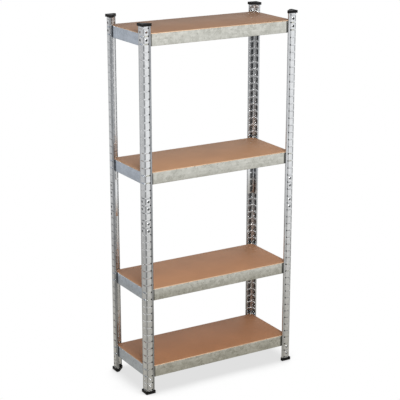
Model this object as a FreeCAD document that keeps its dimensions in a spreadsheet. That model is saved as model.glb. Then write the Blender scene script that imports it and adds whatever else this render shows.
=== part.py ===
import FreeCAD, Part
import os
import re
import Sketcher

# A plug-in shelving unit of galvanised sheet steel with four loose boards. It stands on the XY plane,
# centred on the origin, with +X to the right and its front towards -Y. All lengths are millimetres.

# Driving dimensions
SIZES = {
    "unit_width": 700.0,          # over the ribs of the posts
    "unit_depth": 300.0,
    "slot_pitch": 30.0,           # a half-post is a whole number of pitches long
    "post_gauge": 1.2,
    "rib_depth": 2.4,             # how far the rib stands out of the flange
    "rib_width": 17.0,
    "rib_ramp": 4.0,              # run of the slope on each side of the rib
    "corner_strip": 5.0,          # flat between the corner and the rib
    "edge_strip": 8.0,            # flat between the rib and the free edge
    "lip_depth": 6.0,             # return lip along the free edge
    "slot_height": 6.0,
    "strap_ramp": 2.5,            # run of the slope at each end of the strap behind a slot
    "hole_bore": 7.0,
    "ring_width": 2.0,            # raised ring round a hole
    "ring_height": 0.8,
    "beam_gauge": 1.0,
    "beam_above_hook": 1.0,       # beam above the root of its upper hooks
    "beam_below_hook": 5.0,       # beam below the tongue of its lower hooks
    "beam_corner_gap": 2.6,       # from a beam's end to the face of the beam round the corner
    "hem_depth": 4.0,             # the ledge lies this far below the beam's top edge
    "ledge_depth": 16.0,
    "ledge_lip": 8.0,
    "ledge_end_gap": 1.0,         # from a ledge's end to the free edge of the post
    "bottom_flange": 10.0,
    "hook_gauge": 1.5,
    "hook_play": 0.2,             # between a hook's tongue and the rib or the strap
    "hook_side_margin": 2.0,      # from a hook's side to the side of the rib
    "hook_tip": 3.0,              # tongue below the strap
    "board_thickness": 6.0,
    "board_play": 1.0,
    "board_corner_cut": 9.0,
    "connector_gauge": 1.5,
    "connector_end_margin": 18.0,
    "connector_edge_play": 0.5,
    "peg_play": 0.2,
    "cap_play": 0.3,
    "cap_wall": 1.8,
    "cap_plate": 2.5,
    "cap_skirt": 8.0,
    "foot_plate": 3.0,
    "foot_skirt": 9.0,
    "plug_leg": 18.0,             # three-cornered plug inside a cap or foot
}

# Counts: slots in a half-post, and for each shelf its half-post and the number of its upper slot, from below
SLOTS_PER_HALF_POST = 25
SHELF_SLOTS = [("lower", 3), ("lower", 14), ("upper", 5), ("upper", 23)]
RING_PITCHES_FROM_END = [1, 2]

# Dimensions that follow from the driving ones
DERIVED = {
    "half_post_length": f"slot_pitch * {SLOTS_PER_HALF_POST}",
    "rib_start": "corner_strip + rib_ramp",
    "rib_end": "rib_start + rib_width",
    "rib_centre": "rib_start + rib_width / 2",
    "flange_width": "rib_end + rib_ramp + edge_strip",
    "flat_inside": "rib_depth + post_gauge",
    "lip_end": "rib_depth + lip_depth",
    "slot_left": "corner_strip",
    "slot_right": "rib_end + rib_ramp",
    "strap_outside": "post_gauge + hook_gauge + 2 * hook_play",
    "strap_inside": "strap_outside + post_gauge",
    "ring_radius": "hole_bore / 2 + ring_width",
    "beam_top_margin": "slot_height / 2 + hook_gauge + beam_above_hook",
    "beam_bottom_margin": "slot_height / 2 + hook_tip + beam_below_hook",
    "beam_height": "slot_pitch + beam_top_margin + beam_bottom_margin",
    "beam_end": "lip_end + beam_gauge + beam_corner_gap",
    "ledge_height": "beam_height - hem_depth",
    "hem_inside": "2 * beam_gauge",
    "hook_reach": "lip_end - post_gauge - hook_play",
    "hook_width": "rib_width - 2 * hook_side_margin",
    "board_edge": "lip_end + hem_inside + board_play",
    "connector_leg_end": "flange_width - post_gauge - connector_edge_play",
    "cap_reach": "cap_play + cap_wall",
}

# Corners and sides: how far each is turned about Z, and the signs of its place from the centre
CORNERS = {
    "front_left": (0, -1, -1),
    "front_right": (90, 1, -1),
    "rear_right": (180, 1, 1),
    "rear_left": (270, -1, 1),
}
SIDES = {
    "front": (0, 0, -1),
    "right": (90, 1, 0),
    "rear": (180, 0, 1),
    "left": (270, -1, 0),
}


def expand(formula):
    """A formula on dimension names, as an expression on the sheet's cells."""
    def cell(match):
        word = match.group(0)
        if word in SIZES:
            return "Sizes." + word
        return "(" + expand(DERIVED[word]) + ")"
    return re.sub(r"[a-z_]{2,}", cell, str(formula))


def number(formula):
    return float(sheet.evalExpression(expand(formula)))


def bind(thing, **formulas):
    for path, formula in formulas.items():
        thing.setExpression(path, expand(formula))


def origin_part(body, role):
    return next(part for part in body.Origin.OriginFeatures if part.Role == role)


def new_sketch(body, name, plane, lift="0"):
    sketch = body.newObject("Sketcher::SketchObject", name)
    sketch.AttachmentSupport = (origin_part(body, plane), [""])
    sketch.MapMode = "FlatFace"
    sketch.setExpression("AttachmentOffset.Base.z", expand(lift))
    return sketch


def constrain(sketch, kind, references, formula):
    index = sketch.addConstraint(Sketcher.Constraint(kind, *references, number(formula)))
    sketch.setExpression(f"Constraints[{index}]", expand(formula))


def add_outline(sketch, points):
    """A closed outline whose corners are pairs of formulas."""
    first = sketch.GeometryCount
    corners = [FreeCAD.Vector(number(across), number(along), 0) for across, along in points]
    count = len(corners)
    for i in range(count):
        sketch.addGeometry(Part.LineSegment(corners[i], corners[(i + 1) % count]))
    for i in range(count):
        sketch.addConstraint(Sketcher.Constraint("Coincident", first + i, 2, first + (i + 1) % count, 1))
    for i, (across, along) in enumerate(points):
        constrain(sketch, "DistanceX", (-1, 1, first + i, 1), across)
        constrain(sketch, "DistanceY", (-1, 1, first + i, 1), along)


def add_rectangle(sketch, left, right, bottom, top):
    add_outline(sketch, [(left, bottom), (right, bottom), (right, top), (left, top)])


def add_circle(sketch, across, along, radius):
    centre = FreeCAD.Vector(number(across), number(along), 0)
    index = sketch.addGeometry(Part.Circle(centre, FreeCAD.Vector(0, 0, 1), number(radius)))
    constrain(sketch, "DistanceX", (-1, 1, index, 3), across)
    constrain(sketch, "DistanceY", (-1, 1, index, 3), along)
    constrain(sketch, "Radius", (index,), radius)


def extrude(body, kind, sketch, length, reverse=False, both_ways=False):
    feature = body.newObject("PartDesign::" + kind, sketch.Name + "_" + kind.lower())
    feature.Profile = sketch
    feature.Reversed = reverse
    feature.Midplane = both_ways
    bind(feature, Length=length)
    return feature


def new_master(name):
    return doc.addObject("PartDesign::Body", name + "_master")


# Half-post: an L-angle along +Z, its flanges on the planes Y = 0 and X = 0
def flange_outline():
    """The front flange from the corner to its lip and back, as corners of the section."""
    return [
        ("rib_depth", "rib_depth"), ("corner_strip", "rib_depth"), ("rib_start", "0"), ("rib_end", "0"),
        ("rib_end + rib_ramp", "rib_depth"), ("flange_width", "rib_depth"), ("flange_width", "lip_end"),
        ("flange_width - post_gauge", "lip_end"), ("flange_width - post_gauge", "flat_inside"),
        ("rib_end + rib_ramp", "flat_inside"), ("rib_end", "post_gauge"), ("rib_start", "post_gauge"),
        ("corner_strip", "flat_inside"), ("flat_inside", "flat_inside")]


def strap_outline():
    """The strap of a slot, which parts the rib: pushed in from the flats and joined to them at both ends."""
    ramp_left, ramp_right = "slot_left + strap_ramp", "slot_right - strap_ramp"
    return [
        ("slot_left", "rib_depth"), (ramp_left, "strap_outside"), (ramp_right, "strap_outside"),
        ("slot_right", "rib_depth"), ("slot_right", "flat_inside"), (ramp_right, "strap_inside"),
        (ramp_left, "strap_inside"), ("slot_left", "flat_inside")]


def cut_eyelets(body, plane, inward):
    """A row of slots across the rib, each with its strap behind it."""
    slot_bottom = "slot_pitch / 2 - slot_height / 2"
    slot_sketch = new_sketch(body, "slot_" + plane, plane)
    add_rectangle(slot_sketch, "slot_left", "slot_right", slot_bottom, "slot_pitch / 2 + slot_height / 2")
    slot = extrude(body, "Pocket", slot_sketch, "flat_inside", reverse=inward)
    strap_sketch = new_sketch(body, "strap_" + plane, "XY_Plane", slot_bottom)
    outline = strap_outline()
    if inward:
        outline = [(along, across) for across, along in outline]
    add_outline(strap_sketch, outline)
    strap = extrude(body, "Pad", strap_sketch, "slot_height")
    row = body.newObject("PartDesign::LinearPattern", "eyelet_row_" + plane)
    row.Originals = [slot, strap]
    row.Direction = (origin_part(body, "Z_Axis"), [""])
    row.Mode = "Spacing"
    row.Refine = False
    row.Occurrences = SLOTS_PER_HALF_POST
    bind(row, Offset="slot_pitch")
    body.Tip = row


def ring_heights():
    for pitches in RING_PITCHES_FROM_END:
        yield f"slot_pitch * {pitches}"
        yield f"half_post_length - slot_pitch * {pitches}"


def ring_holes(body, plane, inward):
    rings = new_sketch(body, "rings_" + plane, plane)
    holes = new_sketch(body, "holes_" + plane, plane)
    for height in ring_heights():
        add_circle(rings, "rib_centre", height, "ring_radius")
        add_circle(rings, "rib_centre", height, "hole_bore / 2")
        add_circle(holes, "rib_centre", height, "hole_bore / 2")
    extrude(body, "Pad", rings, "ring_height", reverse=inward)
    extrude(body, "Pocket", holes, "flat_inside", reverse=inward)


def half_post():
    body = new_master("half_post")
    section = new_sketch(body, "post_section", "XY_Plane")
    front = flange_outline()
    side = [(along, across) for across, along in reversed(front[1:-1])]
    add_outline(section, front + side)
    extrude(body, "Pad", section, "half_post_length")
    flanges = (("XZ_Plane", False), ("YZ_Plane", True))
    for plane, inward in flanges:
        ring_holes(body, plane, inward)
    for plane, inward in flanges:
        cut_eyelets(body, plane, inward)
    return body


# Connector: an inner L-angle, centred on the joint of two half-posts, with pegs for the ringed holes
def connector():
    body = new_master("connector")
    section = new_sketch(body, "connector_section", "XY_Plane")
    outside, inside, end = "strap_inside", "strap_inside + connector_gauge", "connector_leg_end"
    front_leg = [(outside, outside), (end, outside), (end, inside), (inside, inside)]
    side_leg = [(inside, end), (outside, end)]
    add_outline(section, front_leg + side_leg)
    reach = max(RING_PITCHES_FROM_END)
    extrude(body, "Pad", section, f"2 * (slot_pitch * {reach} + connector_end_margin)", both_ways=True)
    for plane, inward in (("XZ_Plane", True), ("YZ_Plane", False)):
        pegs = new_sketch(body, "pegs_" + plane, plane)
        for pitches in RING_PITCHES_FROM_END:
            for sign in ("-", ""):
                add_circle(pegs, "rib_centre", f"{sign}slot_pitch * {pitches}", "hole_bore / 2 - peg_play")
        extrude(body, "Pad", pegs, "strap_inside", reverse=inward)
    return body


# Caps and feet: a three-cornered plate, a skirt round the post's end and a plug inside its angle
def three_cornered(reach):
    """The outline that stands this far outside a post's section."""
    near, far, lip = f"-({reach})", f"flange_width + {reach}", f"lip_end + {reach}"
    return [(near, near), (far, near), (far, lip), (lip, far), (near, far)]


def end_piece(name, plate, skirt, upside_down):
    body = new_master(name)
    plate_sketch = new_sketch(body, name + "_plate", "XY_Plane")
    add_outline(plate_sketch, three_cornered("cap_reach"))
    extrude(body, "Pad", plate_sketch, plate, reverse=upside_down)
    skirt_sketch = new_sketch(body, name + "_skirt", "XY_Plane")
    add_outline(skirt_sketch, three_cornered("cap_reach"))
    add_outline(skirt_sketch, three_cornered("cap_play"))
    extrude(body, "Pad", skirt_sketch, skirt, reverse=not upside_down)
    plug_sketch = new_sketch(body, name + "_plug", "XY_Plane")
    near = "flat_inside + cap_play"
    far = near + " + plug_leg"
    add_outline(plug_sketch, [(near, near), (far, near), (near, far)])
    extrude(body, "Pad", plug_sketch, skirt, reverse=not upside_down)
    return body


# Beam: a roll-formed strip along X, its face on the plane Y = 0 and its bottom on Z = 0
def beam_outline():
    under_ledge, lip_inside = "ledge_height - beam_gauge", "ledge_depth - beam_gauge"
    lip_bottom = "ledge_height - ledge_lip"
    return [
        ("0", "0"), ("bottom_flange", "0"), ("bottom_flange", "beam_gauge"), ("beam_gauge", "beam_gauge"),
        ("beam_gauge", under_ledge), (lip_inside, under_ledge), (lip_inside, lip_bottom),
        ("ledge_depth", lip_bottom), ("ledge_depth", "ledge_height"), ("hem_inside", "ledge_height"),
        ("hem_inside", "beam_height"), ("0", "beam_height")]


def hook_outline(slot_centre):
    """A hook whose root sits on the strap of a slot and whose tongue drops between the strap and the rib."""
    seat = f"{slot_centre} + slot_height / 2"
    top = seat + " + hook_gauge"
    tip = f"{slot_centre} - slot_height / 2 - hook_tip"
    tongue_back = "hook_gauge - hook_reach"
    return [
        ("0", seat), ("0", top), ("-hook_reach", top), ("-hook_reach", tip), (tongue_back, tip),
        (tongue_back, seat)]


def beam(name, span):
    """A beam between two posts whose outer planes are the named span apart."""
    body = new_master(name)
    section = new_sketch(body, name + "_section", "YZ_Plane")
    add_outline(section, beam_outline())
    extrude(body, "Pad", section, f"{span} - 2 * beam_end", both_ways=True)

    relief = new_sketch(body, name + "_end_relief", "XY_Plane")
    ledge_end = f"{span} / 2 - flange_width - ledge_end_gap"
    for near, far in ((ledge_end, f"{span} / 2"), (f"-{span} / 2", f"-({ledge_end})")):
        add_rectangle(relief, near, far, "beam_gauge", "ledge_depth + beam_gauge")
    extrude(body, "Pocket", relief, "beam_height", reverse=True)

    hooks = new_sketch(body, name + "_hooks", "YZ_Plane", f"{span} / 2 - rib_centre - hook_width / 2")
    for slot_centre in ("beam_bottom_margin", "beam_bottom_margin + slot_pitch"):
        add_outline(hooks, hook_outline(slot_centre))
    hook_pad = extrude(body, "Pad", hooks, "hook_width")
    both_ends = body.newObject("PartDesign::Mirrored", name + "_both_ends")
    both_ends.Originals = [hook_pad]
    both_ends.MirrorPlane = (origin_part(body, "YZ_Plane"), [""])
    body.Tip = both_ends
    return body


# Board: clipped at its corners, lying on the plane Z = 0
def shelf_board():
    body = new_master("shelf_board")
    plan = new_sketch(body, "board_plan", "XY_Plane")
    half_x, half_y = "unit_width / 2 - board_edge", "unit_depth / 2 - board_edge"
    quarter = [(half_x, f"{half_y} - board_corner_cut"), (f"{half_x} - board_corner_cut", half_y)]
    mirrored = [(f"-({x})", y) for x, y in reversed(quarter)]
    upper = quarter + mirrored
    lower = [(f"-({x})", f"-({y})") for x, y in upper]
    add_outline(plan, upper + lower)
    extrude(body, "Pad", plan, "board_thickness")
    return body


def place(label, master, turn, x, y, z):
    """A sub-part: a body of its own, made from the master, turned about Z and set in its place."""
    body = doc.addObject("PartDesign::Body", label)
    body.Label = label
    body.BaseFeature = master
    body.Placement = FreeCAD.Placement(FreeCAD.Vector(), FreeCAD.Rotation(FreeCAD.Vector(0, 0, 1), turn))
    bind(body, **{"Placement.Base.x": x, "Placement.Base.y": y, "Placement.Base.z": z})
    sub_parts.append(body)


def place_posts():
    post, joint = half_post(), connector()
    cap = end_piece("cap", "cap_plate", "cap_skirt", upside_down=False)
    foot = end_piece("foot", "foot_plate", "foot_skirt", upside_down=True)
    joint_height = "foot_plate + half_post_length"
    for corner, (turn, side_x, side_y) in CORNERS.items():
        x, y = f"{side_x} * unit_width / 2", f"{side_y} * unit_depth / 2"
        place("foot_" + corner, foot, turn, x, y, "foot_plate")
        place("lower_post_" + corner, post, turn, x, y, "foot_plate")
        place("post_connector_" + corner, joint, turn, x, y, joint_height)
        place("upper_post_" + corner, post, turn, x, y, joint_height)
        place("top_cap_" + corner, cap, turn, x, y, joint_height + " + half_post_length")


def place_shelves():
    beams = {"front": beam("long_beam", "unit_width"), "left": beam("short_beam", "unit_depth")}
    beams["rear"], beams["right"] = beams["front"], beams["left"]
    board = shelf_board()
    post_bottom = {"lower": "foot_plate", "upper": "foot_plate + half_post_length"}
    for shelf, (half, slot) in enumerate(SHELF_SLOTS, start=1):
        upper_slot = f"{post_bottom[half]} + slot_pitch * {slot} + slot_pitch / 2"
        bottom = f"{upper_slot} + beam_top_margin - beam_height"
        for side, (turn, side_x, side_y) in SIDES.items():
            x, y = f"{side_x} * (unit_width / 2 - lip_end)", f"{side_y} * (unit_depth / 2 - lip_end)"
            place(f"shelf_{shelf}_{side}_beam", beams[side], turn, x, y, bottom)
        place(f"shelf_{shelf}_board", board, 0, "0", "0", f"{bottom} + ledge_height")


def check_document():
    failed = [thing.Name for thing in doc.Objects if {"Invalid", "Error"} & set(thing.State)]
    for part in sub_parts:
        shape = part.Shape
        if shape.isNull() or not shape.isValid() or len(shape.Solids) != 1:
            failed.append(part.Label)
    if failed:
        raise RuntimeError("not built: " + ", ".join(failed))


doc = FreeCAD.newDocument("shelving_unit")
sheet = doc.addObject("Spreadsheet::Sheet", "Sizes")
for row, (alias, length) in enumerate(SIZES.items(), start=1):
    sheet.set(f"A{row}", str(length))
    sheet.setAlias(f"A{row}", alias)
doc.recompute()

sub_parts = []
place_posts()
place_shelves()
doc.recompute()
check_document()

os.makedirs("parts", exist_ok=True)
for part in sub_parts:
    part.Shape.exportStep(f"parts/{part.Label}.step")
print(f"{len(sub_parts)} sub-parts written")
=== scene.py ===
import math

import bmesh
import bpy
from mathutils import Matrix, Vector


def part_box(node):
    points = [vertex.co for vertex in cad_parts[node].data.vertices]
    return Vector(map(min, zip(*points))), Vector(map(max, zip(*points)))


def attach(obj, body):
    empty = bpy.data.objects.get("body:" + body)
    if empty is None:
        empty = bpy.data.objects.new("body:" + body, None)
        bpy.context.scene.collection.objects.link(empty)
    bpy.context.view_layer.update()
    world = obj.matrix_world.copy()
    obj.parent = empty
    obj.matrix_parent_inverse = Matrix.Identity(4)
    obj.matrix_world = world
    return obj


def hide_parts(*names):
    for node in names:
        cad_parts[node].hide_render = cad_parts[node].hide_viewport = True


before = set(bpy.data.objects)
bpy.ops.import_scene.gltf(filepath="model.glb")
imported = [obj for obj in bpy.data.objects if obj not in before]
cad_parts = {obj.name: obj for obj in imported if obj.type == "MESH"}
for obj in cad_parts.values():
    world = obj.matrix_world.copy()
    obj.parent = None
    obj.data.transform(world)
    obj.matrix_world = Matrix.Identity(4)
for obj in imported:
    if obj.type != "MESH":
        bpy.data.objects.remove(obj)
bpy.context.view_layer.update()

# Unit, in metres
MM = 0.001
UNIT_WIDTH = 700 * MM
UNIT_DEPTH = 300 * MM
SHELVES = range(1, 5)
CORNERS = {                      # turn about Z in degrees, and which way the corner lies in X and Y
    "front_left": (0, -1, -1),
    "front_right": (90, 1, -1),
    "rear_right": (180, 1, 1),
    "rear_left": (270, -1, 1),
}
SIDES = {                        # the same for the sides
    "front": (0, 0, -1),
    "right": (90, 1, 0),
    "rear": (180, 0, 1),
    "left": (270, -1, 0),
}

# Posts
FLANGE_WIDTH = 38 * MM
POST_GAUGE = 1.2 * MM
LIP_END = 8.4 * MM
LIP_BEND = 1.6 * MM
CORNER_BEND = 1.4 * MM
RIB_DEPTH = 2.4 * MM
RIB_START = 9 * MM
RIB_END = 26 * MM
RIB_RAMP = 4 * MM
RIB_BEND = 2.4 * MM
RIB_CENTRE = (RIB_START + RIB_END) / 2
SLOT_PITCH = 30 * MM
SLOTS_PER_HALF_POST = 25
SLOT_HEIGHT = 6 * MM
STRAP_RAMP = 2.5 * MM
STRAP_DEPTH = 3.1 * MM
RINGED_STRETCHES = 2             # stretches with a ringed hole at each end of a half-post
RING_SQUARE = 13 * MM            # square patch of the rib that a ring is pressed in
RING_START = -3 * math.pi / 4    # angle of the square's first corner
RING_PROFILE = [                 # radius, height and polish of the raised ring round a hole; below zero, painted shade into the hole
    (5.8 * MM, 0.0, 1.0),
    (5.3 * MM, 0.6 * MM, 0.6),
    (4.7 * MM, 0.8 * MM, 0.1),
    (4.1 * MM, 0.75 * MM, -0.5),
    (3.6 * MM, 0.4 * MM, -0.8),
    (3.5 * MM, 0.0, -0.8),
]

# Beams
BEAM_GAUGE = 0.95 * MM
BEAM_HEIGHT = 46.5 * MM
BEAM_END = 12 * MM               # from the outer plane of the posts to the end of a beam
HEM_DEPTH = 4 * MM
HEM_WIDTH = 2 * MM
LEDGE_DEPTH = 16 * MM
LEDGE_LIP = 8 * MM
LEDGE_GAP = 1 * MM               # from a post's lip to the end of a ledge
LEDGE_END = FLANGE_WIDTH + LEDGE_GAP
BOTTOM_FLANGE = 10 * MM
BEAM_BEND = 1.6 * MM
LEDGE_BEND = 0.6 * MM
HOOK_GAUGE = 1.5 * MM
HOOK_WIDTH = 13 * MM
HOOK_REACH = 7 * MM
HOOK_SEAT = 14 * MM              # height of the lower hooks' roots on the beam
HOOK_DROP = 9 * MM               # from the root's seat to the tongue's tip
HOOK_BEND = 2.2 * MM
HOOK_ROOT = 0.5 * MM
HOOK_TAPER = 2 * MM

# Boards, plastic ends and connectors
BOARD_CORNER_CUT = 9 * MM
BOARD_ARRIS = 0.9 * MM
END_PLAY = 0.3 * MM
END_WALL = 1.8 * MM
END_REACH = END_PLAY + END_WALL
END_ROUND = 0.7 * MM
END_BEND = 1.2 * MM
END_RIM = 0.4 * MM
END_SINK = 0.5 * MM
PLUG_START = 5 * MM
PLUG_LEG = 18 * MM
CONNECTOR_ARRIS = 0.3 * MM

# Detail of the meshes
RING_STEPS = 8                   # along each side of a ring's square
ROUND_STEPS = 3
ARRIS_STEPS = 2
BEND_STEP = math.radians(24)
SHARP_ANGLE = math.radians(38)
FLAT_ANGLE = math.radians(1)
WELD = 0.01 * MM

# Zinc: scales of its patterns, and what each pattern does to shade, relief and roughness
FLAKE_SCALE = 95.0
SMALL_FLAKE_SCALE = 260.0
WARP_SCALE = 90.0                # of the noise that bends the edges of the flakes
WARP_REACH = 12 * MM
TARNISH_SCALE = 14.0
TARNISH_SPAN = (0.3, 0.7)
STREAK_SCALE = 150.0
STREAK_SPAN = (0.35, 0.65)
STREAK_STRETCH = 0.03            # scale of the streaks along the way the sheet was rolled
ROLLED_ALONG_X = (STREAK_STRETCH, 1.0, 1.0)
ROLLED_ALONG_Y = (1.0, STREAK_STRETCH, 1.0)
ROLLED_UPRIGHT = (1.0, 1.0, STREAK_STRETCH)
ZINC_GRAIN_SCALE = 1400.0
FLAKE_SHADE = 0.42
SMALL_FLAKE_SHADE = 0.22
TARNISH_SHADE = 0.22
STREAK_SHADE = 0.14
FLAKE_RELIEF = 0.8
SMALL_FLAKE_RELIEF = 0.5
GRAIN_RELIEF = 0.4
FLAKE_HAZE = 0.08
TARNISH_HAZE = 0.06
ZINC_BUMP = 0.35
ZINC_DEPTH = 0.06 * MM
# tone of the painted shade where the polish falls below zero
PAINTED_SHADE_TONE = (26, 26, 28)

# Polish of the zinc and painted shade: 1 is bright, 0 is dull and below zero is painted shade, darker than
# dull
PAD_POLISH = 1.0
END_BACK_POLISH = 0.75           # inside the ends of a half-post, which have no painted shade in the rib's core
# painted shade inside one flange of some posts, behind the ringed holes
SHADED_END_BACK_POLISH = -0.7
ZONE_POLISH_AND_SHADE = {                  # outside and inside a post; the front flange's dull outer strips and values below zero are painted shade
    "strap": (0.9, 0.75),
    "shaded_strap_end": (-0.85, 0.5),
    "corner": (0.9, 0.45),
    "front_corner_strip": (0.0, 0.6),
    "side_corner_strip": (0.9, 0.6),
    "front_edge_strip": (0.0, 1.0),
    "side_edge_strip": (0.55, 0.7),
}
STRAP_SHADE_START = 25 * MM             # along the unit's long sides, straps get painted shade from here outwards
SHADED_CORE = 4 * MM             # half the width of the painted shade in the core inside a rib
SHADED_CORE_FADE = 3.5 * MM           # width of that painted shade's faded edge
BAR_FADE = 0.6 * MM
SEAM_START = 36.5 * MM           # painted shade where a beam meets a post's lip, from the post's outer face
SEAM_END = 44.5 * MM
SEAM_FADE = 1 * MM
SEAM_SHADE = -0.75

# Fibreboard and plastic: sRGB tones, scales of their patterns, and what each pattern does
# tone of each shelf from the top: partly the boards' own, partly painted shade on the darker top and bottom
# shelves
BOARD_TONES = [(161, 114, 81), (172, 126, 93), (174, 131, 98), (155, 117, 89)]
BOARD_CLOUD_SCALE = 7.0
BOARD_CLOUD_SPAN = (0.3, 0.7)
CLOUD_DARK = 0.97                # times the board's tone, as the next three
CLOUD_LIGHT = 1.03
FIBRE_LIGHT = 1.1
SPECK_DARK = 0.65
FIBRE_SCALE = 420.0
FIBRE_SPAN = (0.45, 0.75)
FIBRE_SHARE = 0.35
SPECK_SCALE = 330.0
SPECK_SPAN = (0.08, 0.3)
SPECK_SHARE = 0.18
LEVEL_SPAN = (0.55, 0.98)        # squared height of the normal, from a sawn edge to a face
SAWN_DARK = (196, 164, 134)
SAWN_LIGHT = (228, 200, 172)
BOARD_ROUGHNESS = 0.5
FIBRE_ROUGHNESS = 0.16
SAWN_ROUGHNESS = 0.2
BOARD_SPECULAR = 0.3
BOARD_BUMP = 0.25
BOARD_DEPTH = 0.1 * MM
PLASTIC_DARK = (9, 9, 10)
PLASTIC_LIGHT = (19, 19, 20)
PLASTIC_CLOUD_SCALE = 60.0
PLASTIC_CLOUD_SPAN = (0.35, 0.7)
PLASTIC_GRAIN_SCALE = 1800.0
PLASTIC_ROUGHNESS = 0.42
GRAIN_ROUGHNESS = 0.2
PLASTIC_SPECULAR = 0.15
PLASTIC_BUMP = 0.4
PLASTIC_DEPTH = 0.08 * MM

# Floor, room, lamp and camera
WHITE = (1.0, 1.0, 1.0, 1.0)
PAPER = (0.8, 0.8, 0.8, 1.0)
FLOOR_SIZE = 60.0
SHADOW_REACH = 0.25              # the floor is in shadow where the unit stands this close over it
SHADOW_START = 0.2               # share of the floor's view that the unit takes where the shadow starts
SHADOW_FULL = 0.48
SHADOW_DARKNESS = 0.255
FLOOR_NEAR = (0.50, 0.475, 0.42, 1.0)
FLOOR_NEAR_SPAN = (0.25, 3.6)    # distances between which the floor that metal shows turns white
UNLIT_SPAN = (0.5, 2.0)          # distances between which it darkens towards the unlit sides
DARK_SIDES = [                   # unlit sides that metal shows: way, cosines of start and full, darkness
    ((-0.466, -0.885, 0.0), 0.86, 0.96, 0.50),
    ((0.999, 0.04, 0.0), 0.80, 0.94, 0.75),
    ((-0.80, 0.60, 0.0), 0.30, 0.85, 0.35),
]
AMBIENT_LOW = 0.62               # from the walls
AMBIENT_HIGH = 0.20              # from the ceiling
LAMP_PLACE = (-1.2, -3.2, 2.9)
LAMP_AIM = (0.0, 0.0, 0.8)
LAMP_SIZE = 1.6
LAMP_POWER = 160
LAMP_COLOUR = (1.0, 0.98, 0.95)
SENSOR = 36.0
LENS = 116.354
CAMERA_REACH = 100.0
CAMERA_PLACE = (-2.6144, -4.3724, 2.2567)
CAMERA_AZIMUTH = math.radians(30.7744)
CAMERA_PITCH = math.radians(16.6663)


# Node trees
class Wire:
    """A socket in a node tree. Arithmetic on it adds Math nodes to the same tree."""

    def __init__(self, tree, socket):
        self.tree = tree
        self.socket = socket

    def math(self, operation, *values):
        return self.tree.add("ShaderNodeMath", {"operation": operation}, dict(enumerate(values)))

    def __add__(self, other):
        return self.math("ADD", self, other)

    def __radd__(self, other):
        return self.math("ADD", other, self)

    def __sub__(self, other):
        return self.math("SUBTRACT", self, other)

    def __rsub__(self, other):
        return self.math("SUBTRACT", other, self)

    def __mul__(self, other):
        return self.math("MULTIPLY", self, other)

    def __rmul__(self, other):
        return self.math("MULTIPLY", other, self)

    def __lt__(self, other):
        return self.math("LESS_THAN", self, other)

    def __gt__(self, other):
        return self.math("GREATER_THAN", self, other)

    def __abs__(self):
        return self.math("ABSOLUTE", self)

    def larger(self, other):
        return self.math("MAXIMUM", self, other)

    def beside(self, output):
        """Another output of the same node."""
        return Wire(self.tree, self.socket.node.outputs[output])

    def step(self, low, high):
        """0 below low, 1 above high and smooth between them."""
        settings = {"interpolation_type": "SMOOTHSTEP"}
        inputs = {"Value": self, "From Min": low, "From Max": high}
        return self.tree.add("ShaderNodeMapRange", settings, inputs)


class Nodes:
    """A node tree under construction."""

    def __init__(self, tree):
        self.tree = tree
        tree.nodes.clear()

    def add(self, kind, settings=None, inputs=None, output=0):
        """A new node: its settings, then its inputs' values or wires. Returns the wire of one output."""
        made = self.tree.nodes.new(kind)
        for name, value in (settings or {}).items():
            setattr(made, name, value)
        for name, value in (inputs or {}).items():
            wires = value if isinstance(value, list) else [value]
            if not isinstance(wires[0], Wire):
                made.inputs[name].default_value = value
                continue
            for wire in wires:
                self.tree.links.new(wire.socket, made.inputs[name])
        return Wire(self, made.outputs[output]) if made.outputs else made

    def here(self):
        """The place on the object."""
        return self.add("ShaderNodeTexCoord", output="Object")

    def noise(self, where, scale, detail, output=0):
        inputs = {"Vector": where, "Scale": scale, "Detail": detail}
        return self.add("ShaderNodeTexNoise", inputs=inputs, output=output)

    def bump(self, strength, depth, height):
        inputs = {"Strength": strength, "Distance": depth, "Height": height}
        return self.add("ShaderNodeBump", inputs=inputs)

    def mix(self, share, first, second):
        """A colour between two others."""
        return self.add("ShaderNodeMix", {"data_type": "RGBA"}, {0: share, 6: first, 7: second}, output=2)

    def grey(self, level):
        return self.add("ShaderNodeCombineColor", inputs={"Red": level, "Green": level, "Blue": level})

    def vector(self, operation, *values, output="Vector"):
        return self.add("ShaderNodeVectorMath", {"operation": operation}, dict(enumerate(values)), output)


# Finishes
def rgb(red, green, blue):
    """An sRGB colour from 0 to 255 as a linear colour."""
    def linear(part):
        share = part / 255
        return share / 12.92 if share <= 0.04045 else ((share + 0.055) / 1.055) ** 2.4
    return (linear(red), linear(green), linear(blue), 1.0)


def new_finish(name):
    material = bpy.data.materials.new(name)
    material.use_nodes = True
    return material, Nodes(material.node_tree)


def finish_shader(nodes, inputs):
    shader = nodes.add("ShaderNodeBsdfPrincipled", inputs=inputs)
    nodes.add("ShaderNodeOutputMaterial", inputs={"Surface": shader})


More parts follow.
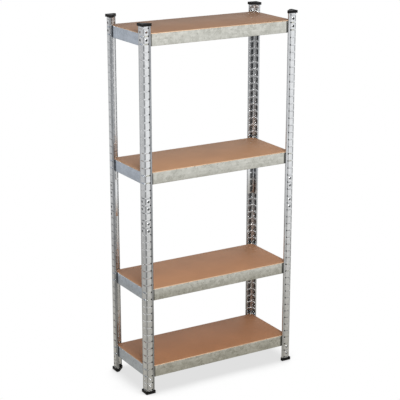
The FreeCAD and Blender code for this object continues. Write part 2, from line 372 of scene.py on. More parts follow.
def galvanised(name, rolled, dull, bright, haze, polish_and_shade_nodes, polish_and_shade_share=0.0, offset=(0.0, 0.0, 0.0)):
    """Zinc-coated sheet: crystal flakes, cloudy tarnish and faint streaks along the way it was rolled.

    Its colour lies between the tones dull and bright. The argument after haze adds the nodes that tell its
    polish and painted shade, and the one after that is their share of the colour; below zero, the colour is
    painted darker as shade.
    """
    material, nodes = new_finish(name)
    here = nodes.add("ShaderNodeMapping", inputs={"Vector": nodes.here(), "Location": offset})
    warp = nodes.vector("SUBTRACT", nodes.noise(here, WARP_SCALE, 2.0, "Color"), (0.5, 0.5, 0.5))
    bent = nodes.vector("ADD", here, nodes.vector("MULTIPLY", warp, (WARP_REACH,) * 3))

    def flakes(scale):
        """A level for each crystal."""
        crystals = nodes.add("ShaderNodeTexVoronoi", inputs={"Vector": bent, "Scale": scale}, output="Color")
        return nodes.add("ShaderNodeSeparateColor", inputs={"Color": crystals})

    flake, small_flake = flakes(FLAKE_SCALE), flakes(SMALL_FLAKE_SCALE)
    tarnish = nodes.noise(here, TARNISH_SCALE, 4.0)
    stretched = nodes.add("ShaderNodeMapping", inputs={"Vector": here, "Scale": rolled})
    streak = nodes.noise(stretched, STREAK_SCALE, 3.0)
    grain = nodes.noise(here, ZINC_GRAIN_SCALE, 2.0)
    polish = polish_and_shade_nodes(nodes)
    shade = (
        flake * FLAKE_SHADE + small_flake * SMALL_FLAKE_SHADE
        + tarnish.step(*TARNISH_SPAN) * TARNISH_SHADE + streak.step(*STREAK_SPAN) * STREAK_SHADE)
    colour = nodes.mix(shade * (1 - polish_and_shade_share) + polish * polish_and_shade_share, rgb(*dull), rgb(*bright))
    relief = flake * FLAKE_RELIEF + small_flake * SMALL_FLAKE_RELIEF + grain * GRAIN_RELIEF
    finish_shader(nodes, {
        # painted shade: the colour turns to the shade tone where the polish falls below zero
        "Base Color": nodes.mix((0 - polish).larger(0.0), colour, rgb(*PAINTED_SHADE_TONE)),
        "Metallic": 1.0,
        "Roughness": haze + small_flake * FLAKE_HAZE + flake * FLAKE_HAZE + tarnish * TARNISH_HAZE,
        "Normal": nodes.bump(ZINC_BUMP, ZINC_DEPTH, relief),
    })
    return material


def stored_polish_and_shade(attribute):
    """Polish and painted shade that the mesh tells."""
    return lambda nodes: nodes.add("ShaderNodeAttribute", {"attribute_name": attribute}, output="Fac")


def place_from_post(nodes):
    """How far a place lies from the outer face of the nearest post along its side, and its height."""
    x = nodes.add("ShaderNodeSeparateXYZ", inputs={"Vector": nodes.here()}, output="X")
    y, z = x.beside("Y"), x.beside("Z")
    return (UNIT_WIDTH / 2 - abs(x)).larger(UNIT_DEPTH / 2 - abs(y)), z


def painted_seam_shade(nodes):
    """Polish of the beams: none, and painted shade where a beam meets the lip of a post."""
    across, _ = place_from_post(nodes)
    starts = across.step(SEAM_START - SEAM_FADE, SEAM_START)
    ends = across.step(SEAM_END, SEAM_END + SEAM_FADE)
    return (starts - ends) * SEAM_SHADE


def painted_joint_light_and_shade(nodes):
    """Painted light and shade on the flat connectors: bright bars with shaded recesses between them, as
    inside the posts.
    """
    across, z = place_from_post(nodes)
    from_recess = z.math("PINGPONG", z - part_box("upper_post_front_left")[0].z, SLOT_PITCH / 2)
    bar_edge = (SLOT_PITCH - SLOT_HEIGHT) / 2
    lit_bar = from_recess.step(bar_edge - BAR_FADE, bar_edge + BAR_FADE)
    shaded_recess = 1 - abs(across - RIB_CENTRE).step(SHADED_CORE, SHADED_CORE + SHADED_CORE_FADE)
    return 1 - shaded_recess * (1 - lit_bar)


def fibreboard(name, tone):
    """Smooth brown board with pale sawn edges."""
    def shade(share):
        return rgb(*[part * share for part in tone])

    material, nodes = new_finish(name)
    here = nodes.here()
    normal = nodes.add("ShaderNodeNewGeometry", output="Normal")
    level = nodes.add("ShaderNodeSeparateXYZ", inputs={"Vector": normal}, output="Z")
    edge = 1 - (level * level).step(*LEVEL_SPAN)
    cloud = nodes.noise(here, BOARD_CLOUD_SCALE, 4.0)
    fibre = nodes.noise(here, FIBRE_SCALE, 3.0)
    speck = nodes.add("ShaderNodeTexVoronoi", inputs={"Vector": here, "Scale": SPECK_SCALE})
    face = nodes.mix(cloud.step(*BOARD_CLOUD_SPAN), shade(CLOUD_DARK), shade(CLOUD_LIGHT))
    face = nodes.mix(fibre.step(*FIBRE_SPAN) * FIBRE_SHARE, face, shade(FIBRE_LIGHT))
    face = nodes.mix((1 - speck.step(*SPECK_SPAN)) * SPECK_SHARE, face, shade(SPECK_DARK))
    sawn = nodes.mix(fibre, rgb(*SAWN_DARK), rgb(*SAWN_LIGHT))
    finish_shader(nodes, {
        "Base Color": nodes.mix(edge, face, sawn),
        "Roughness": BOARD_ROUGHNESS + fibre * FIBRE_ROUGHNESS + edge * SAWN_ROUGHNESS,
        "Specular IOR Level": BOARD_SPECULAR,
        "Normal": nodes.bump(BOARD_BUMP, BOARD_DEPTH, fibre + edge * fibre),
    })
    return material


def moulded_plastic(name):
    """Black plastic with a fine moulded grain."""
    material, nodes = new_finish(name)
    here = nodes.here()
    grain = nodes.noise(here, PLASTIC_GRAIN_SCALE, 3.0)
    cloud = nodes.noise(here, PLASTIC_CLOUD_SCALE, 3.0)
    finish_shader(nodes, {
        "Base Color": nodes.mix(cloud.step(*PLASTIC_CLOUD_SPAN), rgb(*PLASTIC_DARK), rgb(*PLASTIC_LIGHT)),
        "Roughness": PLASTIC_ROUGHNESS + grain * GRAIN_ROUGHNESS,
        "Specular IOR Level": PLASTIC_SPECULAR,
        "Normal": nodes.bump(PLASTIC_BUMP, PLASTIC_DEPTH, grain),
    })
    return material


# Outlines and meshes
def rounded(corners):
    """The points of an open outline. A corner is (point, bend, mark), and a sharp one keeps its mark."""
    points = [(corners[0][0], corners[0][2])]
    for (before, _, _), (corner, bend, mark), (after, _, _) in zip(corners, corners[1:], corners[2:]):
        if not bend:
            points.append((corner, mark))
            continue
        back, ahead = (before - corner).normalized(), (after - corner).normalized()
        half = back.angle(ahead) / 2
        centre = corner + (back + ahead).normalized() * (bend / math.sin(half))
        spoke = corner + back * (bend / math.tan(half)) - centre
        turn = -math.copysign(math.pi - 2 * half, back.cross(ahead))
        steps = math.ceil(abs(turn) / BEND_STEP)
        for step in range(steps + 1):
            points.append((centre + Matrix.Rotation(turn * step / steps, 2) @ spoke, None))
    points.append((corners[-1][0], corners[-1][2]))
    apart = [one for one, after in zip(points, points[1:]) if (one[0] - after[0]).length > WELD]
    return apart + [points[-1]]


def rounded_points(corners):
    """The bare points of an open outline whose corners, (point, bend), have no marks."""
    return [point for point, _ in rounded([(Vector(corner), bend, None) for corner, bend in corners])]


def loft(shape, rings):
    """Walls from ring to ring, with a face over the first ring and the last."""
    for below, above in zip(rings, rings[1:]):
        for i in range(len(below)):
            after = (i + 1) % len(below)
            shape.faces.new([below[i], below[after], above[after], above[i]])
    shape.faces.new(rings[0][::-1])
    shape.faces.new(rings[-1])


def ease(shape, edges, arris):
    """Rounds off sharp edges."""
    bmesh.ops.bevel(
        shape, geom=edges, offset=arris, offset_type="OFFSET", segments=ARRIS_STEPS, profile=0.5,
        affect="EDGES", clamp_overlap=True)


def new_object(name, data):
    made = bpy.data.objects.new(name, data)
    bpy.context.scene.collection.objects.link(made)
    return made


def mesh_of(name, shape):
    """A mesh made from a bmesh, which is freed."""
    mesh = bpy.data.meshes.new(name)
    shape.to_mesh(mesh)
    shape.free()
    return mesh


def settled(maker, name):
    """The plain mesh that an object's modifiers give. The object is removed."""
    evaluated = maker.evaluated_get(bpy.context.evaluated_depsgraph_get())
    mesh = bpy.data.meshes.new_from_object(evaluated)
    mesh.name = name
    bpy.data.objects.remove(maker)
    return mesh


def finished(name, mesh, materials, node):
    """A piece that stands for a node of the frame. Its faces keep the numbers of their materials."""
    for index, material in enumerate(materials):
        if index < len(mesh.materials):
            mesh.materials[index] = material
        else:
            mesh.materials.append(material)
    mesh.shade_smooth()
    mesh.set_sharp_from_angle(angle=SHARP_ANGLE)
    piece = new_object(name, mesh)
    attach(piece, "root")
    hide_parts(node)


def corner_place(corner, height):
    """Moves a shape from its own corner to a corner of the unit."""
    turn, side_x, side_y = CORNERS[corner]
    place = Matrix.Translation((side_x * UNIT_WIDTH / 2, side_y * UNIT_DEPTH / 2, height))
    return place @ Matrix.Rotation(math.radians(turn), 4, "Z")


def node_group(name, inputs):
    """A geometry tree with named inputs, and the wires of those inputs."""
    group = bpy.data.node_groups.new(name, "GeometryNodeTree")
    group.interface.new_socket("Geometry", in_out="INPUT", socket_type="NodeSocketGeometry")
    for label, kind in inputs.items():
        group.interface.new_socket(label, in_out="INPUT", socket_type="NodeSocket" + kind)
    group.interface.new_socket("Geometry", in_out="OUTPUT", socket_type="NodeSocketGeometry")
    nodes = Nodes(group)
    entry = nodes.add("NodeGroupInput")
    return group, nodes, {label: entry.beside(label) for label in ["Geometry", *inputs]}


def close_group(nodes, shape, wires):
    """Turns the shape about Z, sets it in its place and gives it its finish."""
    turn = nodes.add("ShaderNodeCombineXYZ", inputs={"Z": wires["Turn"]})
    shape = nodes.add("GeometryNodeTransform", inputs={
        "Geometry": shape, "Translation": wires["Place"], "Rotation": turn})
    shape = nodes.add("GeometryNodeRealizeInstances", inputs={"Geometry": shape})
    shape = nodes.add("GeometryNodeSetMaterial", inputs={"Geometry": shape, "Material": wires["Finish"]})
    nodes.add("NodeGroupOutput", inputs={"Geometry": shape})


def apply_group(maker, group, values):
    """Runs a geometry tree on an object, its inputs set by their identifiers."""
    modifier = maker.modifiers.new(group.name, "NODES")
    modifier.node_group = group
    for socket in group.interface.items_tree:
        if socket.in_out == "INPUT" and socket.name in values:
            modifier[socket.identifier] = values[socket.name]


def thicken(maker, gauge, back_finish=0):
    """Gives a sheet its gauge, behind its outer face. Its back can have a finish of its own."""
    wall = maker.modifiers.new("gauge", "SOLIDIFY")
    wall.material_offset = back_finish
    wall.thickness = gauge
    wall.offset = -1
    wall.use_even_offset = True


# Posts: pressed angle, a stretch from slot to slot repeated up each half-post
def ring_offsets():
    """Columns and rows of a ring's square, from its middle."""
    return [RING_SQUARE * (step / RING_STEPS - 0.5) for step in range(RING_STEPS + 1)]


def flange_corners(flange):
    """A flange's section from its lip to the foot of the rib by the post's corner."""
    def corner(across, depth, bend, mark=None):
        return Vector((across, depth) if flange == "front" else (depth, across)), bend, mark
    return [
        corner(FLANGE_WIDTH, LIP_END, 0),
        corner(FLANGE_WIDTH, RIB_DEPTH, LIP_BEND),
        corner(RIB_END + RIB_RAMP, RIB_DEPTH, RIB_BEND),
        corner(RIB_END, 0, RIB_BEND),
        *[corner(RIB_CENTRE + offset, 0, 0, flange) for offset in reversed(ring_offsets())],
        corner(RIB_START, 0, RIB_BEND),
        corner(RIB_START - RIB_RAMP, RIB_DEPTH, RIB_BEND),
    ]


def post_columns():
    """The section's points from the front flange's lip round the corner to the side flange's lip."""
    post_corner = (Vector((RIB_DEPTH, RIB_DEPTH)), CORNER_BEND, None)
    return rounded(flange_corners("front") + [post_corner] + flange_corners("side")[::-1])


def strap_push(point):
    """How far a slot's strap lies behind this point of the section: level with the flats, then deeper."""
    across, depth = max(point), min(point)
    from_end = min(across - RIB_START + RIB_RAMP, RIB_END + RIB_RAMP - across)
    share = max(0.0, min(1.0, from_end / STRAP_RAMP))
    return max(0.0, RIB_DEPTH + (STRAP_DEPTH - RIB_DEPTH) * share - depth)


def flange_of(point):
    """Which flange a point of the section is on."""
    return "front" if point.x > point.y else "side"


def pushed(point, depth, height):
    """A point of the section at a height, pushed in from the outer face of its flange."""
    inward = Vector((0, depth) if flange_of(point) == "front" else (depth, 0))
    return (*(point + inward), height)


def end_back_polish_and_shade(flange, shaded_flange):
    """How polished the inside of a flange is near the ends of a half-post. Inside one flange of some posts it
    is painted shade, behind the ringed holes.
    """
    return SHADED_END_BACK_POLISH if (flange, shaded_flange) == ("front", "side") else END_BACK_POLISH


def polish_and_shade_at(point, on_strap, shaded_flange, at_end):
    """How polished a post is at a point of its section, outside and inside, with painted shade on the front
    flange's outer strips, in the core inside each rib and at some strap ends.

    Its third argument is the flange with painted shade at its strap ends, and at_end is true near the ends of
    a half-post.
    """
    across, depth = max(point), min(point)
    flange = flange_of(point)
    if on_strap:
        # straps far out along one flange get painted shade at their outer ends
        outside, inside = ZONE_POLISH_AND_SHADE["shaded_strap_end" if flange == shaded_flange and across > STRAP_SHADE_START else "strap"]
    elif across < RIB_DEPTH + CORNER_BEND:
        outside, inside = ZONE_POLISH_AND_SHADE["corner"]
    else:
        # painted shade: outside, the front flange's strips beside the pads are dull, the side flange's bright
        strip, inside = ZONE_POLISH_AND_SHADE[flange + ("_corner_strip" if across < RIB_CENTRE else "_edge_strip")]
        raised = max(0.0, 1 - depth / RIB_DEPTH)
        outside = PAD_POLISH * raised + strip * (1 - raised)
        # painted shade inside: dull in the core of each rib's recess
        from_core = (abs(across - RIB_CENTRE) - SHADED_CORE) / SHADED_CORE_FADE
        inside *= max(0.0, min(1.0, from_core))
    return outside, end_back_polish_and_shade(flange, shaded_flange) if at_end else inside


def round_square(columns, rows, flange, middle):
    """The columns and rows of the points round a ring's square, from its first corner."""
    across = [i for i, (_, mark) in enumerate(columns) if mark == flange]
    up = [j for j, height in enumerate(rows) if abs(height - middle) < RING_SQUARE / 2 + WELD]
    there = [(i, up[0]) for i in across[:-1]] + [(across[-1], j) for j in up[:-1]]
    back = [(i, up[-1]) for i in across[:0:-1]] + [(across[0], j) for j in up[:0:-1]]
    return there + back


def press_ring(shape, outer, flange, middle, inside):
    """A hole with a raised ring, in the square of open edges that its outer points go round.

    inside is how polished the ring is on the inner side of the post; on one flange of some posts it is
    painted shade.
    """
    pad_polish = shape.verts.layers.float["pad_polish"]
    back_polish = shape.verts.layers.float["back_polish"]
    centre = Vector((RIB_CENTRE, 0) if flange == "front" else (0, RIB_CENTRE))
    along = Vector((-1, 0) if flange == "front" else (0, 1))
    count = len(outer)
    for radius, proud, polish in RING_PROFILE:
        inner = []
        for spoke in range(count):
            angle = 2 * math.pi * spoke / count + RING_START
            point = centre + along * (radius * math.cos(angle))
            vert = shape.verts.new(pushed(point, -proud, middle + radius * math.sin(angle)))
            vert[pad_polish] = polish
            vert[back_polish] = inside
            inner.append(vert)
        for spoke in range(count):
            after = (spoke + 1) % count
            shape.faces.new([inner[spoke], inner[after], outer[after], outer[spoke]])
        outer = inner


def post_stretch(name, finish, shaded_flange, at_end, rows, slot_middles, ring_middle=None):
    """A stretch of a post's outer skin: parted along the slots, with the straps pushed in."""
    shape = bmesh.new()
    columns = post_columns()
    pad_polish = shape.verts.layers.float.new("pad_polish")
    back_polish = shape.verts.layers.float.new("back_polish")
    made = {}

    def corner(column, row, in_slot=False):
        point = columns[column][0]
        depth = strap_push(point) if in_slot else 0.0
        key = (column, row, depth > WELD)
        if key not in made:
            made[key] = shape.verts.new(pushed(point, depth, rows[row]))
            made[key][pad_polish], made[key][back_polish] = polish_and_shade_at(point, depth > WELD, shaded_flange, at_end)
        return made[key]

    for column in range(len(columns) - 1):
        in_square = columns[column][1] and columns[column + 1][1]
        for row in range(len(rows) - 1):
            middle = (rows[row] + rows[row + 1]) / 2
            if in_square and ring_middle and abs(middle - ring_middle) < RING_SQUARE / 2:
                continue
            in_slot = any(abs(middle - slot) < SLOT_HEIGHT / 2 for slot in slot_middles)
            places = ((column, row), (column, row + 1), (column + 1, row + 1), (column + 1, row))
            shape.faces.new([corner(*place, in_slot) for place in places])
    if ring_middle:
        for flange in ("front", "side"):
            outer = [corner(*place) for place in round_square(columns, rows, flange, ring_middle)]
            press_ring(shape, outer, flange, ring_middle, end_back_polish_and_shade(flange, shaded_flange))
    stretch = new_object(name, mesh_of(name, shape))
    stretch.data.materials.append(finish)
    return stretch


def post_stretches(finish, shaded_flange):
    """The four kinds of stretch, for posts with painted shade at the strap ends of one flange."""
    half_slot, middle = SLOT_HEIGHT / 2, SLOT_PITCH / 2
    plain_rows = [0, half_slot, SLOT_PITCH - half_slot, SLOT_PITCH]
    ringed_rows = plain_rows[:2] + [middle + offset for offset in ring_offsets()] + plain_rows[2:]
    both_slots = [0, SLOT_PITCH]
    kinds = {
        "Plain Stretch": (False, plain_rows, both_slots),
        "Ringed Stretch": (True, ringed_rows, both_slots, middle),
        "Lower End": (True, [0, middle - half_slot, middle], [middle]),
        "Upper End": (True, [0, half_slot, middle], [0]),
    }
    return {kind: post_stretch(kind, finish, shaded_flange, *layout) for kind, layout in kinds.items()}


def half_post_group():
    """Repeats the stretches up a half-post, with ringed ones near both its ends."""
    group, nodes, wires = node_group("half_post", {
        "Plain Stretch": "Object", "Ringed Stretch": "Object", "Lower End": "Object", "Upper End": "Object",
        "Pitch": "Float", "Stretches": "Int", "Ringed": "Int", "Weld": "Float", "Turn": "Float",
        "Place": "Vector", "Finish": "Material"})

    def shape_of(label):
        return nodes.add("GeometryNodeObjectInfo", inputs={"Object": wires[label]}, output="Geometry")

    def lifted(height):
        return nodes.add("ShaderNodeCombineXYZ", inputs={"Z": height})

    pitch, count = wires["Pitch"], wires["Stretches"]
    places = nodes.add("GeometryNodeMeshLine", inputs={
        "Count": count, "Start Location": lifted(pitch * 0.5), "Offset": lifted(pitch)})
    index = nodes.add("GeometryNodeInputIndex")
    ringed = (index < wires["Ringed"]).larger(index > count - wires["Ringed"] - 0.5)
    parts = [shape_of("Lower End")]
    for label, chosen in (("Ringed Stretch", ringed), ("Plain Stretch", 1 - ringed)):
        parts.append(nodes.add("GeometryNodeInstanceOnPoints", inputs={
            "Points": places, "Selection": chosen, "Instance": shape_of(label)}))
    parts.append(nodes.add("GeometryNodeTransform", inputs={
        "Geometry": shape_of("Upper End"), "Translation": lifted(pitch * (count + 0.5))}))
    shape = nodes.add("GeometryNodeJoinGeometry", inputs={"Geometry": parts})
    shape = nodes.add("GeometryNodeRealizeInstances", inputs={"Geometry": shape})
    shape = nodes.add("GeometryNodeMergeByDistance", inputs={"Geometry": shape, "Distance": wires["Weld"]})
    close_group(nodes, shape, wires)
    return group


def make_posts(outside, inside):
    stretches = {shaded_flange: post_stretches(outside, shaded_flange) for shaded_flange in ("front", "side")}
    group = half_post_group()
    for half in ("lower", "upper"):
        for corner, (turn, _, _) in CORNERS.items():
            node = f"{half}_post_{corner}"
            along_front = "side" if turn % 180 else "front"
            place = corner_place(corner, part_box(node)[0].z)
            maker = new_object(node + "_maker", bpy.data.meshes.new(node))
            apply_group(maker, group, {
                **stretches[along_front], "Pitch": SLOT_PITCH, "Stretches": SLOTS_PER_HALF_POST - 1,
                "Ringed": RINGED_STRETCHES, "Weld": WELD, "Turn": place.to_euler().z,
                "Place": place.translation, "Finish": outside})
            maker.data.materials.append(outside)
            maker.data.materials.append(inside)
            thicken(maker, POST_GAUGE, 1)
            finished(node + "_angle", settled(maker, node), [outside, inside], node)
    for kinds in stretches.values():
        for stretch in kinds.values():
            bpy.data.objects.remove(stretch)


# Beams: folded strip with two hooks at each end
def beam_section():
    """The section's outer face, from the edge of the bottom flange over the hem to the ledge's lip."""
    ledge = BEAM_HEIGHT - HEM_DEPTH
    outline = rounded_points([
        ((BOTTOM_FLANGE, 0), 0), ((0, 0), BEAM_BEND), ((0, BEAM_HEIGHT), HEM_WIDTH / 2),
        ((HEM_WIDTH, BEAM_HEIGHT), HEM_WIDTH / 2), ((HEM_WIDTH, ledge), LEDGE_BEND),
        ((LEDGE_DEPTH, ledge), BEAM_BEND), ((LEDGE_DEPTH, ledge - LEDGE_LIP), 0)])
    shape = bmesh.new()
    verts = [shape.verts.new((0, *point)) for point in outline]
    for one, after in zip(verts, verts[1:]):
        shape.edges.new((one, after))
    return mesh_of("beam_section", shape)


def beam_group():
    """Draws the section out along X and bares the tabs at both ends of everything behind the face."""
    group, nodes, wires = node_group("folded_beam", {
        "Length": "Float", "Tab": "Float", "Tab Depth": "Float", "Turn": "Float", "Place": "Vector",
        "Finish": "Material"})

    def along(length):
        return nodes.add("ShaderNodeCombineXYZ", inputs={"X": length})

    length, tab = wires["Length"], wires["Tab"]
    shape = nodes.add("GeometryNodeTransform", inputs={
        "Geometry": wires["Geometry"], "Translation": along(length * -0.5)})
    ahead = True
    for run in (tab, length - 2 * tab, tab):
        shape = nodes.add("GeometryNodeExtrudeMesh", {"mode": "EDGES"}, {
            "Mesh": shape, "Selection": ahead, "Offset": along(run), "Offset Scale": 1.0}, output="Mesh")
        ahead = shape.beside("Top")
    here = nodes.add("GeometryNodeInputPosition")
    from_middle = nodes.add("ShaderNodeSeparateXYZ", inputs={"Vector": here}, output="X")
    behind = from_middle.beside("Y")
    in_tab = abs(from_middle) > length * 0.5 - tab
    spare = in_tab * (behind > wires["Tab Depth"])
    shape = nodes.add("GeometryNodeDeleteGeometry", {"domain": "FACE"}, {
        "Geometry": shape, "Selection": spare})
    close_group(nodes, shape, wires)
    return group


def hook_sheet():
    """The outer face of one hook: a root that reaches forward and a tongue that hangs down and tapers."""
    points = rounded_points([
        ((-HOOK_REACH, -HOOK_DROP), 0), ((-HOOK_REACH, HOOK_GAUGE), HOOK_BEND), ((HOOK_ROOT, HOOK_GAUGE), 0)])
    tip = points[0]
    points.insert(1, tip + Vector((0, HOOK_TAPER)))
    shape = bmesh.new()
    rails = []
    for side in (-1, 1):
        half = [HOOK_WIDTH / 2 - (HOOK_TAPER / 2 if point is tip else 0) for point in points]
        rails.append([shape.verts.new((side * width, *point)) for width, point in zip(half, points)])
    left, right = rails
    for i in range(len(points) - 1):
        shape.faces.new([left[i], right[i], right[i + 1], left[i + 1]])
    return new_object("hook_sheet", mesh_of("hook_sheet", shape))


def hook_group():
    """Sets a hook at each slot that a beam hangs in: two at each end."""
    group, nodes, wires = node_group("beam_hooks", {
        "Hook": "Object", "Spread": "Float", "Pitch": "Float", "Lowest": "Float", "Turn": "Float",
        "Place": "Vector", "Finish": "Material"})
    spots = nodes.add("GeometryNodeMeshGrid", inputs={
        "Size X": wires["Spread"], "Size Y": wires["Pitch"], "Vertices X": 2, "Vertices Y": 2}, output="Mesh")
    lift = nodes.add("ShaderNodeCombineXYZ", inputs={"Z": wires["Lowest"] + wires["Pitch"] * 0.5})
    spots = nodes.add("GeometryNodeTransform", inputs={
        "Geometry": spots, "Translation": lift, "Rotation": (math.pi / 2, 0, 0)})
    hook = nodes.add("GeometryNodeObjectInfo", inputs={"Object": wires["Hook"]}, output="Geometry")
    shape = nodes.add("GeometryNodeInstanceOnPoints", inputs={"Points": spots, "Instance": hook})
    close_group(nodes, shape, wires)
    return group


def make_beams(long_finish, short_finish):
    section, hook = beam_section(), hook_sheet()
    folded, hooked = beam_group(), hook_group()
    face_x, face_y = UNIT_WIDTH / 2 - LIP_END, UNIT_DEPTH / 2 - LIP_END
    for shelf in SHELVES:
        for side, (turn, side_x, side_y) in SIDES.items():
            node = f"shelf_{shelf}_{side}_beam"
            span = UNIT_WIDTH if side_y else UNIT_DEPTH
            material = long_finish if side_y else short_finish
            set_in = {
                "Turn": math.radians(turn), "Place": (side_x * face_x, side_y * face_y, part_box(node)[0].z),
                "Finish": material}
            sheet_maker = new_object(node + "_maker", section.copy())
            apply_group(sheet_maker, folded, {
                **set_in, "Length": span - 2 * BEAM_END, "Tab": LEDGE_END - BEAM_END,
                "Tab Depth": BEAM_GAUGE})
            thicken(sheet_maker, BEAM_GAUGE)
            hook_maker = new_object(node + "_hook_maker", bpy.data.meshes.new(node))
            apply_group(hook_maker, hooked, {
                **set_in, "Hook": hook, "Spread": span - 2 * RIB_CENTRE, "Pitch": SLOT_PITCH,
                "Lowest": HOOK_SEAT})
            thicken(hook_maker, HOOK_GAUGE)
            both = bmesh.new()
            both.from_mesh(settled(sheet_maker, node))
            both.from_mesh(settled(hook_maker, node + "_hooks"))
            finished(node + "_folded", mesh_of(node, both), [material], node)
    bpy.data.objects.remove(hook)


# Boards, plastic ends and connectors
def make_boards():
    for shelf, tone in zip(SHELVES, BOARD_TONES):
        node = f"shelf_{shelf}_board"
        material = fibreboard(f"brown_fibreboard_{shelf}", tone)
        low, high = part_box(node)
        cut = BOARD_CORNER_CUT
        plan = [
            (low.x + cut, low.y), (high.x - cut, low.y), (high.x, low.y + cut), (high.x, high.y - cut),
            (high.x - cut, high.y), (low.x + cut, high.y), (low.x, high.y - cut), (low.x, low.y + cut)]
        shape = bmesh.new()
        loft(shape, [[shape.verts.new((x, y, height)) for x, y in plan] for height in (low.z, high.z)])
        ease(shape, shape.edges[:], BOARD_ARRIS)
        finished(node + "_sawn", mesh_of(node, shape), [material], node)


def end_outline(reach):
    """The rounded five-sided outline that stands this far outside a post's section."""
    near, far, lip = -reach, FLANGE_WIDTH + reach, LIP_END + reach
    corners = [(near, near), (far, near), (far, lip), (lip, far), (near, far)]
    start = ((near, far / 2), 0)
    return rounded_points([start, *[(corner, END_BEND) for corner in corners], start])[:-1]


def plastic_end(name, plate, skirt):
    """A cap for a post's end, with its plate's underside at zero: a rounded cup with a plug inside."""
    outer = END_REACH - END_ROUND
    profile = [(END_PLAY, 0), (END_PLAY, -skirt), (END_REACH, -skirt)]
    for step in range(ROUND_STEPS + 1):
        angle = math.pi / 2 * step / ROUND_STEPS
        profile.append((outer + END_ROUND * math.cos(angle), plate - END_ROUND + END_ROUND * math.sin(angle)))
    profile += [(-END_RIM, plate), (-END_RIM - END_ROUND, plate - END_SINK)]
    plug_end = PLUG_START + PLUG_LEG
    plug = [(PLUG_START, PLUG_START), (plug_end, PLUG_START), (PLUG_START, plug_end)]
    shape = bmesh.new()
    loft(shape, [
        [shape.verts.new((*point, height)) for point in end_outline(reach)] for reach, height in profile])
    loft(shape, [[shape.verts.new((*point, height)) for point in plug] for height in (-skirt, plate / 2)])
    return mesh_of(name, shape)


def make_plastic_ends(material):
    for corner in CORNERS:
        for node, post, upright in (("top_cap_", "upper_post_", 1), ("foot_", "lower_post_", -1)):
            low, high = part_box(node + corner)
            post_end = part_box(post + corner)[1 if upright > 0 else 0].z
            plate, skirt = high.z - post_end, post_end - low.z
            if upright < 0:
                plate, skirt = skirt, plate
            mesh = plastic_end(node + corner, plate, skirt)
            mesh.transform(corner_place(corner, post_end) @ Matrix.Diagonal((1, 1, upright, 1)))
            if upright < 0:
                mesh.flip_normals()
            finished(node + corner + "_moulded", mesh, [material], node + corner)


def make_connectors(material):
    for corner in CORNERS:
        node = f"post_connector_{corner}"
        shape = bmesh.new()
        shape.from_mesh(bpy.data.objects[node].data)
        bmesh.ops.remove_doubles(shape, verts=shape.verts[:], dist=WELD)
        bmesh.ops.dissolve_limit(shape, angle_limit=FLAT_ANGLE, verts=shape.verts[:], edges=shape.edges[:])
        sharp = [edge for edge in shape.edges if edge.is_manifold and edge.calc_face_angle() > SHARP_ANGLE]
        ease(shape, sharp, CONNECTOR_ARRIS)
        finished(node + "_strip", mesh_of(node, shape), [material], node)


# Floor, light and camera
def background_share(nodes):
    """1 for rays that show the background: seen by the camera, in metal or through glass."""
    seen = nodes.add("ShaderNodeLightPath", output="Is Camera Ray")
    return seen.larger(seen.beside("Is Glossy Ray")).larger(seen.beside("Is Transmission Ray"))


def room_level(nodes, way):
    """How light the room looks in metal: white, and darker towards its unlit sides."""
    flat = nodes.vector("NORMALIZE", nodes.vector("MULTIPLY", way, (1.0, 1.0, 0.0)))
    level = 1.0
    for side, start, full, darkness in DARK_SIDES:
        towards = nodes.vector("DOT_PRODUCT", flat, side, output="Value")
        level = level * (1 - towards.step(start, full) * darkness)
    return level


def make_floor():
    """A white floor with a soft shadow where the unit stands close over it."""
    shape = bmesh.new()
    half = FLOOR_SIZE / 2
    corners = [(-half, -half, 0), (half, -half, 0), (half, half, 0), (-half, half, 0)]
    shape.faces.new([shape.verts.new(corner) for corner in corners])
    floor = new_object("floor", mesh_of("floor", shape))
    material, nodes = new_finish("floor_paper")
    here = nodes.here()
    distance = nodes.vector("LENGTH", here, output="Value")
    paper = nodes.add("ShaderNodeBsdfDiffuse", inputs={"Color": PAPER})
    clear = nodes.add("ShaderNodeAmbientOcclusion", inputs={"Distance": SHADOW_REACH}, output="AO")
    shadow = 1 - clear.step(1 - SHADOW_FULL, 1 - SHADOW_START)
    shown = nodes.add("ShaderNodeEmission", inputs={"Color": nodes.grey(1 - shadow * SHADOW_DARKNESS)})
    near_level = nodes.mix(distance.step(*FLOOR_NEAR_SPAN), FLOOR_NEAR, WHITE)
    unlit = (1 - room_level(nodes, here)) * distance.step(*UNLIT_SPAN)
    room = nodes.vector("MULTIPLY", near_level, nodes.grey(1 - unlit))
    mirrored = nodes.add("ShaderNodeEmission", inputs={"Color": room})
    in_metal = nodes.add("ShaderNodeLightPath", output="Is Glossy Ray")
    shown = nodes.add("ShaderNodeMixShader", inputs={0: in_metal, 1: shown, 2: mirrored})
    surface = nodes.add("ShaderNodeMixShader", inputs={0: background_share(nodes), 1: paper, 2: shown})
    nodes.add("ShaderNodeOutputMaterial", inputs={"Surface": surface})
    floor.data.materials.append(material)


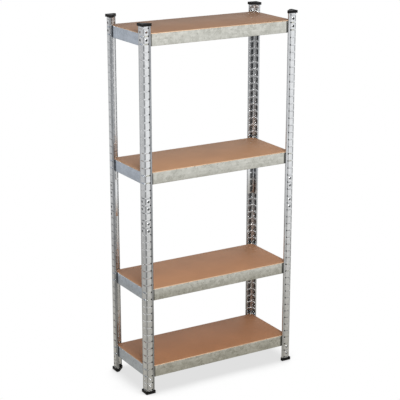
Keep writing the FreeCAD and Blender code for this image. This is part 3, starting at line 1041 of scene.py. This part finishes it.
def make_world():
    """A white room. It lights the unit less than it shows, so that finishes keep their tones."""
    world = bpy.data.worlds.new("white_room")
    world.use_nodes = True
    nodes = Nodes(world.node_tree)
    way = nodes.add("ShaderNodeTexCoord", output="Generated")
    in_metal = nodes.add("ShaderNodeLightPath", output="Is Glossy Ray")
    white = 1 - in_metal * (1 - room_level(nodes, way))
    up = nodes.add("ShaderNodeSeparateXYZ", inputs={"Vector": way}, output="Z").larger(0.0)
    ambient = AMBIENT_LOW - up * (AMBIENT_LOW - AMBIENT_HIGH)
    level = ambient + background_share(nodes) * (white - ambient)
    light = nodes.add("ShaderNodeBackground", inputs={"Color": nodes.grey(level), "Strength": 1.0})
    nodes.add("ShaderNodeOutputWorld", inputs={"Surface": light})
    bpy.context.scene.world = world


def make_lamp():
    lamp = bpy.data.lights.new("key_lamp", "AREA")
    lamp.size = LAMP_SIZE
    lamp.energy = LAMP_POWER
    lamp.color = LAMP_COLOUR
    stand = new_object("key_lamp", lamp)
    stand.location = LAMP_PLACE
    stand.rotation_euler = (Vector(LAMP_AIM) - Vector(LAMP_PLACE)).to_track_quat("-Z", "Y").to_euler()


def make_camera():
    lens = bpy.data.cameras.new("camera")
    lens.sensor_width = SENSOR
    lens.lens = LENS
    lens.clip_end = CAMERA_REACH
    camera = new_object("camera", lens)
    camera.location = CAMERA_PLACE
    camera.rotation_euler = (math.pi / 2 - CAMERA_PITCH, 0, -CAMERA_AZIMUTH)
    bpy.context.scene.camera = camera


make_posts(
    galvanised(
        "post_zinc", ROLLED_UPRIGHT, dull=(135, 138, 142), bright=(238, 240, 242), haze=0.10,
        polish_and_shade_nodes=stored_polish_and_shade("pad_polish"), polish_and_shade_share=0.65),
    # inside of the posts: a copy of the zinc with a darker dull tone, for painted shade in the recesses
    galvanised(
        "post_back_zinc", ROLLED_UPRIGHT, dull=(96, 99, 102), bright=(250, 251, 252), haze=0.12,
        polish_and_shade_nodes=stored_polish_and_shade("back_polish"), polish_and_shade_share=0.9))
# warm long beams and cool, bluer short beams: painted warm light on the front and cooler light on the sides
make_beams(
    galvanised(
        "long_beam_zinc", ROLLED_ALONG_X, dull=(172, 172, 163), bright=(222, 222, 215), haze=0.22,
        polish_and_shade_nodes=painted_seam_shade, offset=(0.31, 0.0, 0.0)),
    galvanised(
        "short_beam_zinc", ROLLED_ALONG_Y, dull=(174, 182, 193), bright=(213, 222, 234), haze=0.22,
        polish_and_shade_nodes=painted_seam_shade, offset=(0.0, 0.47, 0.0)))
make_boards()
make_plastic_ends(moulded_plastic("black_moulding"))
# connectors: painted highlights on bars and painted shade in recesses, as the posts' inner relief shows
make_connectors(
    galvanised(
        "connector_zinc", ROLLED_UPRIGHT, dull=(96, 99, 102), bright=(235, 237, 239), haze=0.15,
        polish_and_shade_nodes=painted_joint_light_and_shade, polish_and_shade_share=0.85, offset=(0.0, 0.0, 0.23)))
make_floor()
make_world()
make_lamp()
make_camera()
bpy.context.scene.view_settings.view_transform = "Standard"
